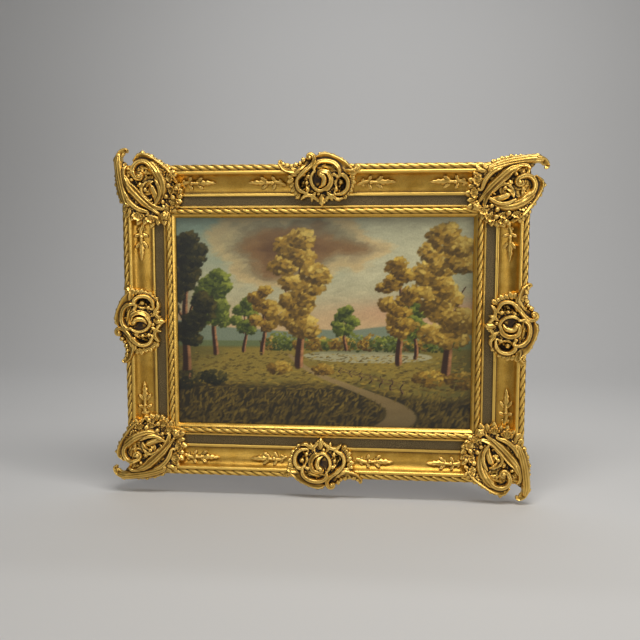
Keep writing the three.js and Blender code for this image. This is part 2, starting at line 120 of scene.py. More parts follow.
# ---- node materials
class Nodes:
    """Builds a material's nodes by name."""

    def __init__(self, name):
        self.material = bpy.data.materials.new(name)
        self.material.use_nodes = True
        self.tree = self.material.node_tree
        self.shader = self.tree.nodes["Principled BSDF"]

    def add(self, kind, **settings):
        node = self.tree.nodes.new("ShaderNode" + kind)
        for key, value in settings.items():
            if hasattr(node, key):
                setattr(node, key, value)
            else:
                node.inputs[key].default_value = value
        return node

    def link(self, source, target):
        self.tree.links.new(source, target)

    def value(self, name):
        return self.add("Attribute", attribute_name=name).outputs["Fac"]

    def position(self):
        return self.add("TexCoord").outputs["Object"]

    def noise(self, scale, detail=4, rough=0.55, stretch=(1, 1, 1)):
        where = self.position()
        if stretch != (1, 1, 1):
            mapping = self.add("Mapping", Scale=stretch)
            self.link(where, mapping.inputs["Vector"])
            where = mapping.outputs["Vector"]
        node = self.add("TexNoise", Scale=scale, Detail=detail, Roughness=rough)
        self.link(where, node.inputs["Vector"])
        return node.outputs["Fac"]

    def ramp(self, source, stops):
        """A colour ramp: stops are (position, colour), a colour being a grey level or (r, g, b)."""
        node = self.add("ValToRGB")
        elements = node.color_ramp.elements
        while len(elements) < len(stops):
            elements.new(0.5)
        for element, (position, colour) in zip(elements, stops):
            element.position = position
            rgb = (colour,) * 3 if isinstance(colour, (int, float)) else colour
            element.color = (*rgb, 1)
        self.link(source, node.inputs["Fac"])
        return node.outputs["Color"]

    def mix(self, share, first, second, blend="MIX"):
        """Mixes two colours; each is a socket or an (r, g, b), and share a socket or a number."""
        node = self.add("Mix", data_type="RGBA", blend_type=blend)
        ends = ((share, node.inputs[0]), (first, node.inputs[6]), (second, node.inputs[7]))
        for given, socket in ends:
            if isinstance(given, bpy.types.NodeSocket):
                self.link(given, socket)
            elif isinstance(given, tuple):
                socket.default_value = (*given, 1)
            else:
                socket.default_value = given
        return node.outputs[2]

    def maths(self, operation, first, second=None, third=None, clamp=False):
        node = self.add("Math", operation=operation, use_clamp=clamp)
        for i, given in enumerate((first, second, third)):
            if isinstance(given, bpy.types.NodeSocket):
                self.link(given, node.inputs[i])
            elif given is not None:
                node.inputs[i].default_value = given
        return node.outputs[0]

    def bump(self, height, distance, strength=1.0, before=None):
        node = self.add("Bump", Distance=distance, Strength=strength)
        self.link(height, node.inputs["Height"])
        if before is not None:
            self.link(before, node.inputs["Normal"])
        return node.outputs["Normal"]

    def finish(self, colour=None, roughness=None, metallic=None, normal=None, **constants):
        for socket, given in (
            ("Base Color", colour), ("Roughness", roughness), ("Metallic", metallic), ("Normal", normal),
        ):
            if isinstance(given, bpy.types.NodeSocket):
                self.link(given, self.shader.inputs[socket])
            elif isinstance(given, tuple):
                self.shader.inputs[socket].default_value = (*given, 1)
            elif given is not None:
                self.shader.inputs[socket].default_value = given
        for name, given in constants.items():
            self.shader.inputs[name.replace("_", " ")].default_value = given
        return self.material


def antique_gold(name, bright, middle, deep, soil_shade_colour, roughness):
    """Water gilding rubbed on the high places, with red bole; the relief also paints the crests lighter as
    painted highlight and the hollows dark brown as grime and painted shade.
    """
    n = Nodes(name)
    relief = n.value("relief")  # 0 in the hollows, 0.5 level, 1 on the crests
    mottle = n.noise(38, 6, 0.62)
    fine = n.noise(420, 3, 0.6)
    # the gold ramp follows the relief: darker in the hollows as painted shade, lighter on the crests as
    # painted highlight and rubbing
    rubbed_and_lit = n.maths("ADD", relief, n.maths("MULTIPLY_ADD", mottle, 0.5, -0.25))
    gold = n.ramp(rubbed_and_lit, [(0.18, deep), (0.42, middle), (0.8, bright)])
    bole = n.ramp(n.noise(90, 5, 0.7), [(0.6, 0.0), (0.72, 0.55)])
    gold = n.mix(bole, gold, (0.30, 0.085, 0.025))
    # brown grime and painted shade both gather in the hollows, darkening the colour there
    soil_shade_level = n.maths("ADD", relief, n.maths("MULTIPLY_ADD", fine, 0.24, -0.12))
    soil_and_shade = n.ramp(soil_shade_level, [(0.12, 1.0), (0.3, 0.75), (0.5, 0.0)])
    colour = n.mix(soil_and_shade, gold, soil_shade_colour)
    metal = n.ramp(soil_and_shade, [(0.0, 0.95), (1.0, 0.25)])
    rough = n.ramp(n.mix(0.5, soil_and_shade, mottle), [(0.15, roughness), (0.75, roughness + 0.32)])
    normal = n.bump(fine, 0.0004, 0.5)
    normal = n.bump(mottle, 0.0015, 0.35, normal)
    return n.finish(colour, rough, metal, normal)


def make_materials():
    gilding = antique_gold(
        "gilding", (0.86, 0.56, 0.13), (0.50, 0.275, 0.04), (0.13, 0.058, 0.014),
        (0.022, 0.012, 0.006), 0.28,
    )
    casting = antique_gold(
        "casting_gilding", (0.92, 0.62, 0.17), (0.47, 0.26, 0.04), (0.09, 0.042, 0.012),
        (0.016, 0.009, 0.005), 0.26,
    )

    # the sanded flat: dark bronze paint stippled with gold
    n = Nodes("sanded_panel")
    speckle = n.noise(700, 2, 0.7)
    grain = n.ramp(speckle, [(0.42, (0.055, 0.038, 0.014)), (0.62, (0.27, 0.19, 0.075))])
    colour = n.mix(n.ramp(n.noise(30, 4), [(0.35, 0.0), (0.75, 0.5)]), grain, (0.10, 0.07, 0.028))
    panel = n.finish(colour, 0.5, 0.45, n.bump(speckle, 0.0008, 0.8))

    # bare softwood for the frame's back and the stretcher
    n = Nodes("bare_wood")
    grain = n.noise(14, 8, 0.65, (1, 1, 14))
    pores = n.noise(160, 4, 0.6, (1, 1, 20))
    tones = [(0.3, (0.26, 0.15, 0.075)), (0.5, (0.42, 0.27, 0.145)), (0.7, (0.52, 0.36, 0.21))]
    colour = n.ramp(grain, tones)
    colour = n.mix(n.ramp(pores, [(0.35, 0.55), (0.5, 0.0)]), colour, (0.16, 0.09, 0.045))
    colour = n.mix(n.ramp(n.noise(5, 5), [(0.45, 0.0), (0.8, 0.45)]), colour, (0.20, 0.13, 0.075))
    wood = n.finish(colour, 0.78, 0.0, n.bump(pores, 0.0006, 0.5))

    # dull zinc-plated steel for the clips and the hanger
    n = Nodes("plated_steel")
    colour = n.ramp(n.noise(60, 5), [(0.35, (0.30, 0.28, 0.25)), (0.7, (0.55, 0.54, 0.50))])
    rough = n.ramp(n.noise(150, 4), [(0.3, 0.32), (0.7, 0.55)])
    steel = n.finish(colour, rough, 0.9, n.bump(n.noise(300, 3), 0.0003, 0.4))
    return gilding, casting, panel, wood, steel


# ---- carving
def smooth(a, b, x):
    t = np.clip((x - a) / (b - a), 0, 1)
    return t * t * (3 - 2 * t)


def spline(points, step=1.2):
    """Points about `step` apart on a centripetal Catmull-Rom curve through a few points."""
    given = np.asarray(points, float)
    if len(given) == 2:
        given = np.array([given[0], given.mean(0), given[1]])
    ends = np.vstack([2 * given[0] - given[1], given, 2 * given[-1] - given[-2]])
    out = []
    for a, b, c, d in zip(ends, ends[1:], ends[2:], ends[3:]):
        spans = [max(np.linalg.norm(q - p), 1e-6) ** 0.5 for p, q in ((a, b), (b, c), (c, d))]
        knots = np.cumsum([0] + spans)
        t0, t1, t2, t3 = knots
        t = np.linspace(t1, t2, 16, endpoint=False)[:, None]
        ab = (t1 - t) / (t1 - t0) * a + (t - t0) / (t1 - t0) * b
        bc = (t2 - t) / (t2 - t1) * b + (t - t1) / (t2 - t1) * c
        cd = (t3 - t) / (t3 - t2) * c + (t - t2) / (t3 - t2) * d
        abc = (t2 - t) / (t2 - t0) * ab + (t - t0) / (t2 - t0) * bc
        bcd = (t3 - t) / (t3 - t1) * bc + (t - t1) / (t3 - t1) * cd
        out.append((t2 - t) / (t2 - t1) * abc + (t - t1) / (t2 - t1) * bcd)
    dense = np.vstack(out + [given[-1:]])
    far = np.concatenate([[0], np.cumsum(np.linalg.norm(np.diff(dense, axis=0), axis=1))])
    even = np.linspace(0, far[-1], max(4, int(far[-1] / step)))
    return np.column_stack([np.interp(even, far, dense[:, k]) for k in (0, 1)])


def scroll_path(points, curl=None, step=1.2):
    """A spline with a volute on its end: curl is (radius, turn in degrees)."""
    path = spline(points, step)
    if curl is None:
        return path
    radius, turn = curl[0], math.radians(curl[1])
    heading = math.atan2(*(path[-1] - path[-3])[::-1])
    x, z = path[-1]
    turned, more = 0.0, []
    while turned < abs(turn):
        shrunk = radius * (1 - 0.62 * turned / abs(turn))
        turned += step / shrunk
        heading += math.copysign(step / shrunk, turn)
        x += math.cos(heading) * step
        z += math.sin(heading) * step
        more.append((x, z))
    return np.vstack([path, more])


class Field:
    """A field of height v over a grid of x and z."""

    def __init__(self, low, high, level, under):
        self.x = np.arange(low[0], high[0] + STEP, STEP)
        self.z = np.arange(low[1], high[1] + STEP, STEP)
        self.X, self.Z = np.meshgrid(self.x, self.z, indexing="ij")
        self.level = level(self.X, self.Z)  # how high the ornament stands here
        self.under = under(self.X, self.Z)  # where its underside lies
        self.height = np.full(self.X.shape, EMPTY)

    def window(self, path, margin):
        low, high = path.min(0) - margin, path.max(0) + margin
        i0, i1 = np.searchsorted(self.x, (low[0], high[0]))
        j0, j1 = np.searchsorted(self.z, (low[1], high[1]))
        return slice(max(i0 - 1, 0), i1 + 1), slice(max(j0 - 1, 0), j1 + 1)

    def along(self, path, margin):
        """The window about a path, and in it the share along the path and the offsets from it."""
        where = self.window(path, margin)
        X, Z = self.X[where], self.Z[where]
        best = np.full(X.shape, 1e9)
        near = np.zeros(X.shape, int)
        for i, (x, z) in enumerate(path):
            gap = (X - x) ** 2 + (Z - z) ** 2
            closer = gap < best
            best[closer] = gap[closer]
            near[closer] = i
        tangent = np.gradient(path, axis=0)
        tangent /= np.linalg.norm(tangent, axis=1)[:, None] + 1e-9
        dx, dz = X - path[near, 0], Z - path[near, 1]
        tx, tz = tangent[near, 0], tangent[near, 1]
        side = tx * dz - tz * dx
        ahead = tx * dx + tz * dz
        step = np.linalg.norm(path[1] - path[0])
        share = np.clip((near + ahead / step) / (len(path) - 1), 0, 1)
        return where, share, side, np.sqrt(best)

    def lay(self, where, height, inside):
        """Keeps whichever is higher, what is there or the new form."""
        target = self.height[where]
        target[inside] = np.maximum(target[inside], height[inside])

    def stroke(self, points, width, rise, curl=None, form="scroll", taper=(0.45, 0.35), lobes=0):
        """A scroll or a leaf along a path.

        form is scroll (two rims with a channel between), flutes (a broad band with grooves along
        it), cove (one rim with a hollow on its right), round (a plain half-round) or leaf (a
        midrib, veins and a lobed edge).
        """
        path = scroll_path(points, curl)
        where, t, side, gap = self.along(path, width)
        level = self.level[where]
        if form == "leaf":
            half = width / 2 * np.sin(math.pi * (0.1 + 0.88 * t)) ** 0.8
            if lobes:
                half = half * (0.66 + 0.34 * np.abs(np.sin(math.pi * lobes * t)) ** 0.7)
            swell = np.sin(math.pi * (0.15 + 0.8 * t))
        else:
            swell = np.minimum(1, np.minimum(taper[0] + 4 * t, taper[1] + 2.2 * (1 - t)))
            half = width / 2 * swell
        half = np.maximum(half, 0.8)
        d = np.clip(side / half, -1, 1)
        inside = gap < half
        q = np.clip(gap / half, 0, 1)
        fall = np.minimum(half, 7.0)
        crest = level + rise * (0.25 + 0.75 * swell)
        if form == "scroll":
            groove = 0.30 * fall * np.exp(-((d / 0.34) ** 2))
            height = crest - fall * q ** 3.2 - groove
        elif form == "flutes":
            flutes = np.cos(2 * math.pi * 1.75 * d) * (1 - q ** 4)
            height = crest - fall * q ** 2.6 + 0.9 * flutes
        elif form == "cove":
            hollow = 0.95 * fall * np.sin(np.clip((0.52 - d) / 1.5, 0, 1) * math.pi * 0.62)
            height = crest - hollow - fall * smooth(0.62, 1.02, d)
        elif form == "leaf":
            veins = np.cos(2 * math.pi * ((lobes or 3) * t - 0.55 * np.abs(d))) * np.abs(d)
            height = crest - 0.65 * fall * q ** 2 + 0.35 * veins - 1.3 * np.exp(-((d / 0.13) ** 2))
        else:
            height = crest - fall * (1 - np.sqrt(np.maximum(0, 1 - q ** 2)))
        self.lay(where, height, inside)

    def leaf(self, points, width, rise, lobes=0):
        self.stroke(points, width, rise, form="leaf", lobes=lobes)

    def bead(self, at, radius, rise):
        path = np.array([at, at], float)
        where = self.window(path, radius)
        gap = np.hypot(self.X[where] - at[0], self.Z[where] - at[1])
        inside = gap < radius
        dome = np.sqrt(np.maximum(0, 1 - (gap / radius) ** 2))
        self.lay(where, self.level[where] + rise + (dome - 1) * radius * 0.8, inside)

    def beads(self, rise, *places):
        for at, radius in places:
            self.bead(at, radius, rise)

    def flower(self, at, radius, rise, petals=5, turn=0.3):
        for i in range(petals):
            angle = turn + 2 * math.pi * i / petals
            tip = (at[0] + radius * math.cos(angle), at[1] + radius * math.sin(angle))
            self.leaf([at, tip], radius * 0.95, rise)
        self.bead(at, radius * 0.34, rise + 1.6)

    def shell(self, at, reach, spread, ribs, rise, inner=0.15):
        """A rocaille shell: ribs that fan out from a point to a scalloped edge."""
        path = np.array([at, at], float)
        where = self.window(path, max(reach))
        dx, dz = self.X[where] - at[0], self.Z[where] - at[1]
        start, end = np.radians(spread)
        middle, half = (start + end) / 2, abs(end - start) / 2
        angle = (np.arctan2(dz, dx) - middle + math.pi) % (2 * math.pi) - math.pi
        share = (angle / half + 1) / 2
        rib = np.abs(np.sin(math.pi * ribs * share)) ** 0.8
        edge = np.interp(share, (0, 0.5, 1), (reach[0], reach[1], reach[0]))
        r = np.hypot(dx, dz) / (edge * (0.86 + 0.14 * rib))
        inside = (r < 1) & (r > inner) & (np.abs(angle) < half)
        dish = -3.0 * np.sin(math.pi * np.clip(r, 0, 1)) + 2.2 * smooth(0.75, 0.97, r)
        height = self.level[where] + rise + dish + (rib - 1) * (0.8 + 1.8 * r)
        height = height - 4 * smooth(0.93, 1.02, r)
        self.lay(where, height, inside)

    def fringe(self, points, count, length, width, lean, rise=0.0, left=True, grow=(1, 1)):
        """Leaf tips that stand off one side of a curve."""
        path = spline(points)
        tangent = np.gradient(path, axis=0)
        for i in range(count):
            k = int((i + 0.5) / count * (len(path) - 1))
            heading = math.atan2(tangent[k, 1], tangent[k, 0])
            heading += math.radians(90 - lean if left else lean - 90)
            size = np.interp(i / max(count - 1, 1), (0, 1), grow) * (1.15 if i % 2 else 0.9)
            unit = np.array([math.cos(heading), math.sin(heading)])
            bend = np.array([-unit[1], unit[0]]) * length * 0.12 * (-1 if left else 1)
            start = path[k] - unit * length * 0.35
            tip = path[k] + unit * length * size
            self.leaf([start, (start + tip) / 2 + bend, tip], width * size, rise)

    def body(self, outline, drop, round_off=7.0):
        """The ground that the ornament stands on, inside a closed outline."""
        loop = spline(list(outline) + [outline[0]], 2.5)
        gap = np.full(self.X.shape, 1e9)
        inside = np.zeros(self.X.shape, bool)
        for (x0, z0), (x1, z1) in zip(loop, np.roll(loop, -1, axis=0)):
            ex, ez = x1 - x0, z1 - z0
            length = ex * ex + ez * ez + 1e-9
            t = np.clip(((self.X - x0) * ex + (self.Z - z0) * ez) / length, 0, 1)
            gap = np.minimum(gap, np.hypot(self.X - x0 - t * ex, self.Z - z0 - t * ez))
            crosses = (z0 > self.Z) != (z1 > self.Z)
            inside ^= crosses & (self.X < ex * (self.Z - z0) / (ez + 1e-12) + x0)
        edge = round_off * (1 - smooth(0, round_off, gap))
        everywhere = (slice(None), slice(None))
        self.lay(everywhere, self.level - drop - edge, inside)

    def scatter(self, centre, radii, count, seed):
        """Small leaves over the ground, so that none of it is bare."""
        random = np.random.default_rng(seed)
        for _ in range(count):
            r, angle = math.sqrt(random.random()), random.uniform(0, 2 * math.pi)
            x = centre[0] + radii[0] * r * math.cos(angle)
            z = centre[1] + radii[1] * r * math.sin(angle)
            heading, long = angle + random.normal(0, 0.7), random.uniform(8, 14)
            tip = (x + long * math.cos(heading), z + long * math.sin(heading))
            self.leaf([(x, z), tip], random.uniform(6, 9), random.uniform(-3.5, 0))

    def hollow(self, at, radii, depth):
        r = ((self.X - at[0]) / radii[0]) ** 2 + ((self.Z - at[1]) / radii[1]) ** 2
        bowl = np.clip(1 - r, 0, 1)
        self.height -= depth * bowl ** 0.6 * (self.height > EMPTY / 2)


def blurred(field, radius):
    """A box blur, done three times over."""
    k = max(1, int(radius / STEP))
    for axis in (0, 1) * 3:
        pad = [(0, 0), (0, 0)]
        pad[axis] = (k + 1, k)
        total = np.cumsum(np.pad(field, pad, mode="edge"), axis=axis)
        ahead = np.take(total, range(2 * k + 1, total.shape[axis]), axis=axis)
        behind = np.take(total, range(0, total.shape[axis] - 2 * k - 1), axis=axis)
        field = (ahead - behind) / (2 * k + 1)
    return field


def casting(field, target, sink):
    """A closed mesh of a field: points [x, z, v], triangles and the relief at each point."""
    height = np.maximum(field.height, EMPTY)
    solid = height > field.under + 0.4
    cells = solid[:-1, :-1] & solid[1:, :-1] & solid[:-1, 1:] & solid[1:, 1:]
    filled = np.pad(cells, 1)
    used = filled[:-1, :-1] | filled[1:, :-1] | filled[:-1, 1:] | filled[1:, 1:]
    number = np.full(used.shape, -1)
    count = int(used.sum())
    number[used] = np.arange(count)
    i, j = np.nonzero(cells)
    top = np.column_stack([number[i, j], number[i + 1, j], number[i + 1, j + 1], number[i, j + 1]])
    # walls stand where a cell has no neighbour
    walls = []
    for di, dj, a, b in (
        (-1, 0, (0, 1), (0, 0)), (1, 0, (1, 0), (1, 1)), (0, -1, (0, 0), (1, 0)), (0, 1, (1, 1), (0, 1)),
    ):
        bare = cells & ~filled[1 + di:filled.shape[0] - 1 + di, 1 + dj:filled.shape[1] - 1 + dj]
        wi, wj = np.nonzero(bare)
        walls.append(np.column_stack([number[wi + a[0], wj + a[1]], number[wi + b[0], wj + b[1]]]))
    walls = np.vstack(walls)
    x, z = field.X[used], field.Z[used]
    # the stepped outline of the grid is drawn smooth
    for _ in range(4):
        total = np.zeros((count, 2))
        hits = np.zeros(count)
        for a, b in ((0, 1), (1, 0)):
            np.add.at(total, walls[:, a], np.column_stack([x, z])[walls[:, b]])
            np.add.at(hits, walls[:, a], 1)
        rim = hits > 0
        x[rim] = 0.5 * x[rim] + 0.5 * total[rim, 0] / hits[rim]
        z[rim] = 0.5 * z[rim] + 0.5 * total[rim, 1] / hits[rim]
    soft = blurred(np.maximum(height, field.under), 0.8)
    v = (0.35 * soft + 0.65 * height)[used]
    under = np.minimum(field.under[used], v - 0.5) - sink * (field.under[used] != CASTING_BACK)
    points = np.vstack([np.column_stack([x, z, v]), np.column_stack([x, z, under])])
    bottom = top[:, ::-1] + count
    sides = np.column_stack([walls[:, 1], walls[:, 0], walls[:, 0] + count, walls[:, 1] + count])
    rough = make_mesh("rough", points / 1000, np.vstack([top, bottom, sides]), [])
    modifier = rough.modifiers.new("reduce", "DECIMATE")
    modifier.ratio = min(1.0, target / (2 * len(top) + 2 * len(bottom) + 2 * len(sides)))
    modifier.use_collapse_triangulate = True
    reduced = rough.evaluated_get(bpy.context.evaluated_depsgraph_get()).to_mesh()
    out = np.zeros(len(reduced.vertices) * 3)
    reduced.vertices.foreach_get("co", out)
    faces = np.zeros(len(reduced.polygons) * 3, np.int32)
    reduced.loops.foreach_get("vertex_index", faces)
    out = out.reshape(-1, 3) * 1000
    bpy.data.objects.remove(rough)
    return out, faces.reshape(-1, 3), relief_at(field, out)


def relief_at(field, points):
    """How a point stands against what is round it: 0 in a hollow, 0.5 level and 1 on a crest. The gilding
    paints low values as grime and painted shade, high ones as painted highlight.
    """
    height = np.maximum(field.height, field.under)
    near = height - blurred(height, 1.6)
    far = height - blurred(height, 5.0)
    i = np.clip(np.round((points[:, 0] - field.x[0]) / STEP).astype(int), 0, len(field.x) - 1)
    j = np.clip(np.round((points[:, 1] - field.z[0]) / STEP).astype(int), 0, len(field.z) - 1)
    # points below the carved surface, on the walls and underside, count as deeper hollow and so get
    # painted shade
    drop = np.clip(points[:, 2] - height[i, j], -12, 0)
    return np.clip(0.52 + 0.17 * near[i, j] + 0.03 * far[i, j] + 0.04 * drop, 0, 1)


# ---- ornaments
# The frame's surface with its ropes filled in, as [distance in from the edge, v].
COVER = np.array([
    (-0.3, 36), (3, 45.6), (10, 50.6), (18, 52.4), (22.3, 50.9), (31.3, 38.9), (51, 32.9), (98, 32.9),
    (107, 35.5), (121, 22.3), (160, 22.3),
])
BODY_HEIGHT = np.array([(-36, 46), (0, 52), (18, 57), (42, 51), (72, 43), (100, 40), (140, 34)])
SPRAY_HEIGHT = np.array([(20, 51), (28, 45), (36, 40), (46, 36.5), (62, 34.5)])


def from_table(table):
    return lambda u: np.interp(u, table[:, 0], table[:, 1])


def by_edge(height):
    return lambda x, z: height(-z)


def by_corner(height):
    return lambda x, z: height(np.minimum(x, -z))


def cover(u):
    return np.where(u < 0, CASTING_BACK, from_table(COVER)(u))


def corner_field():
    f = Field((-38, -148), (150, 40), by_corner(from_table(BODY_HEIGHT)), by_corner(cover))
    f.body([
        (4, -98), (22, -116), (40, -122), (66, -122), (96, -114), (122, -98), (130, -76),
        (130, -52), (124, -34), (104, -10), (88, 4), (70, 14), (46, 18), (30, 6), (20, -6), (8, 8),
        (-6, 6), (-8, -40), (-2, -76),
    ], 4)
    f.hollow((22, -12), (12, 22), 5)
    f.hollow((60, -14), (17, 14), 8)
    f.scatter((62, -62), (62, 52), 90, 4)
    # leaf tips round the outside
    f.fringe([(-7, -8), (-10, -36), (-6, -60), (2, -84)], 8, 8, 12, 40, left=False)
    f.fringe(
        [(6, -94), (22, -112), (46, -122), (72, -124), (96, -116)],
        8, 18, 17, 5, left=False, grow=(0.7, 1.05),
    )
    f.fringe([(134, -40), (138, -62), (134, -84), (116, -108)], 6, 11, 16, 10, left=False, rise=1)
    f.fringe(
        [(36, 16), (50, 24), (66, 19), (88, 6), (112, -8), (132, -28)],
        11, 9, 12, 32, rise=2, grow=(1.0, 0.8),
    )
    # rounded leaves on the right and the flames beside the crest
    for at, reach, spread in (
        ((108, -58), (14, 18), (-60, 70)), ((112, -84), (16, 21), (-80, 60)),
        ((122, -62), (12, 16), (-50, 80)), ((88, -22), (15, 22), (-40, 70)),
        ((106, -34), (14, 19), (-40, 75)), ((78, -10), (12, 17), (-20, 90)),
        ((100, -96), (14, 19), (-100, 20)), ((40, -104), (18, 26), (215, 325)),
        ((66, -112), (16, 22), (220, 330)),
    ):
        f.shell(at, reach, spread, 5, 3.5)
    # the tall fluted leaf down the outer edge, and the hook over it
    f.stroke(
        [(-4, 22), (-6, 4), (-4, -18), (0, -44), (6, -68), (12, -86)],
        21, 6, (8, 200), "flutes", (0.6, 0.4),
    )
    f.stroke([(-5, 2), (-6, 14), (-1, 26), (8, 33)], 17, 4, (5, -95), "cove", (0.8, 0.45))
    f.leaf([(-16, 10), (-8, 16), (0, 14)], 11, 3)
    f.stroke([(16, -2), (9, -12), (10, -30), (17, -46)], 9, 5, (6, 170))
    # the long diagonal leaf
    f.stroke([(8, -22), (20, -46), (40, -70), (62, -92), (84, -110)], 24, 5, None, "flutes", (0.4, 0.3))
    f.stroke([(20, -40), (36, -56), (54, -78), (74, -94), (92, -100)], 12, 8, (6, 170), "cove")
    f.stroke([(10, -62), (22, -84), (40, -100), (58, -106)], 12, 6, (6, -150))
    # the crest and the great C-scroll with its fluted arch
    f.stroke(
        [(34, 10), (46, 20), (62, 17), (84, 4), (108, -14), (130, -38)],
        17, 5, None, "cove", (0.6, 0.5),
    )
    f.stroke(
        [(56, 8), (74, -2), (88, -20), (96, -42), (95, -66), (86, -86)],
        25, 6, None, "flutes", (0.35, 0.3),
    )
    f.stroke([(80, -12), (66, 4), (50, 8), (36, 1), (31, -13), (36, -27)], 12, 9, (10, 300))
    f.stroke([(82, -34), (90, -50), (90, -70), (80, -88)], 9, 9, (6, -170))
    # the inner comma, its eye and the bulb
    f.stroke([(76, -38), (64, -44), (58, -54)], 12, 9, (7, 300), "cove")
    f.stroke([(70, -46), (76, -58), (80, -72), (78, -86)], 15, 9, form="round", taper=(0.4, 0.2))
    f.stroke([(60, -40), (50, -52), (52, -68), (64, -80)], 8, 8, (5, 150))
    f.bead((46, -27), 5, 11)
    f.bead((58, -57), 4.5, 10)
    f.flower((98, -116), 11, 5)
    f.flower((46, -46), 7, 6, 6)
    f.beads(
        6, ((112, -48), 6), ((120, -74), 6), ((104, -72), 5.5), ((130, -54), 5), ((96, -84), 5),
        ((28, -34), 4),
    )
    return f


def cartouche_field():
    f = Field((-108, -104), (98, 40), by_edge(from_table(BODY_HEIGHT)), by_edge(cover))
    f.body([
        (-46, -74), (-22, -80), (0, -88), (30, -80), (52, -70), (64, -52), (66, -30), (70, -14), (58, 0),
        (36, 10), (10, 17), (-10, 20), (-30, 16), (-48, -6), (-62, -26), (-60, -54),
    ], 4)
    f.scatter((2, -38), (60, 40), 60, 9)
    # ragged edges
    f.fringe([(-56, -10), (-66, -28), (-63, -50), (-48, -72)], 8, 11, 13, 15, left=False)
    f.fringe([(66, -10), (69, -32), (64, -54), (48, -72)], 8, 10, 13, 15)
    f.fringe([(-92, 2), (-74, -6), (-50, -2), (-36, 10)], 6, 7, 11, 30, rise=2)
    f.fringe([(-8, 20), (8, 20), (30, 14), (56, 1)], 7, 7, 10, 32, rise=2)
    f.shell((-20, -42), (17, 23), (120, 240), 5, 3)
    f.shell((28, -42), (15, 21), (-70, 50), 5, 3)
    f.shell((22, -10), (15, 20), (20, 160), 7, 1)
    f.shell((2, -66), (20, 27), (215, 325), 7, 3)
    # wings
    f.stroke([(-38, -14), (-58, -17), (-78, -12), (-92, 0)], 19, 4, (5, -95), "cove", (0.5, 0.35))
    f.leaf([(-40, -24), (-56, -26), (-70, -22)], 11, 3, lobes=2)
    f.stroke([(54, -16), (70, -20), (80, -14)], 13, 4, (7, 190), "cove")
    # the two pockets in their rims
    f.stroke([(-36, -26), (-47, -29), (-54, -42), (-50, -58), (-36, -66)], 10, 7, (5, 150))
    f.stroke([(38, -28), (50, -27), (60, -38), (59, -56), (48, -67), (34, -69)], 10, 7, (5, -150))
    f.hollow((-42, -43), (9, 15), 12)
    f.hollow((46, -46), (11, 15), 10)
    f.bead((45, -42), 6, -2)
    # the garland and its drop
    f.stroke([(-46, -80), (-36, -72), (-22, -72), (-10, -80), (0, -88)], 9, 5)
    f.stroke([(48, -78), (36, -80), (24, -72), (12, -78), (2, -88)], 9, 5)
    f.leaf([(1, -70), (1, -96)], 14, 6, lobes=2)
    f.leaf([(-12, -64), (-20, -76), (-22, -86)], 10, 5)
    f.leaf([(14, -64), (22, -76), (26, -84)], 10, 5)
    # the crest over its smooth cove, and the S-scroll
    f.stroke([(-10, 12), (8, 16), (30, 9), (52, -3), (74, -20)], 20, 5, None, "cove", (0.5, 0.4))
    f.stroke([(-54, -40), (-48, -30), (-37, -19), (-24, -8), (-15, 4), (-16, 14)], 11, 8, (9, 300))
    f.leaf([(-60, -22), (-46, -14), (-34, -4)], 9, 5, lobes=2)
    f.stroke([(-13, -20), (-14, -8), (-5, 2), (12, 5), (30, 0), (41, -12), (43, -26)], 11, 9, (6, -200))
    f.hollow((16, -9), (15, 7), 5)
    # the oval with its comma
    f.stroke([(-14, -16), (-22, -34), (-17, -52), (-4, -61), (12, -57)], 8, 7, (5, 150))
    f.stroke([(0, -60), (16, -54), (23, -38), (16, -22), (4, -18)], 11, 9, (8, 220), "cove")
    f.stroke([(0, -24), (8, -34), (5, -48), (-4, -54)], 12, 10, form="round", taper=(0.4, 0.25))
    f.bead((0, -27), 5, 11)
    f.bead((-25, 12), 4.5, 10)
    f.beads(
        5, ((-30, -58), 5), ((-28, -30), 5), ((34, -58), 5), ((30, -26), 4.5), ((-32, -44), 4.5),
        ((-6, -68), 4),
    )
    return f


def spray_field():
    middle = -43
    f = Field((-8, middle - 22), (98, middle + 22), by_edge(from_table(SPRAY_HEIGHT)), by_edge(cover))
    f.stroke([(0, middle - 4), (20, middle + 2), (50, middle - 1)], 9, 3, None, "round", (0.7, 0.7))
    for side in (1, -1):
        f.leaf([(8, middle), (14, middle + side * 9)], 9, 2)
        f.leaf([(24, middle), (27, middle + side * 9), (31, middle + side * 15)], 12, 3, lobes=2)
        f.leaf([(40, middle), (49, middle + side * 8), (57, middle + side * 13)], 11, 3, lobes=2)
    f.leaf([(38, middle), (62, middle + 1), (86, middle + 1)], 15, 4, lobes=4)
    f.stroke([(28, middle + 1), (50, middle)], 7, 5, form="round", taper=(0.6, 0.3))
    f.bead((30, middle), 4.5, 6)
    return f


def mirror(shape):
    points, faces, relief = shape
    return points * (-1, 1, 1), faces[:, ::-1], relief


def put_casting(name, shape, side, x, z, material):
    points, faces, relief = shape
    piece = make_mesh(f"{name}_carved", place(points, side, x, z), faces, [material], 58)
    set_values(piece, "relief", relief)
    finish_piece(piece, "gilded_ornament", name)


CORNER_FACES, CARTOUCHE_FACES, SPRAY_FACES = 52000, 40000, 7000
SINK = 1.5  # how far a casting's underside reaches into the rail's gilding
SPRAY_FROM_CORNER = 134
SPRAY_FROM_MIDDLE = 82


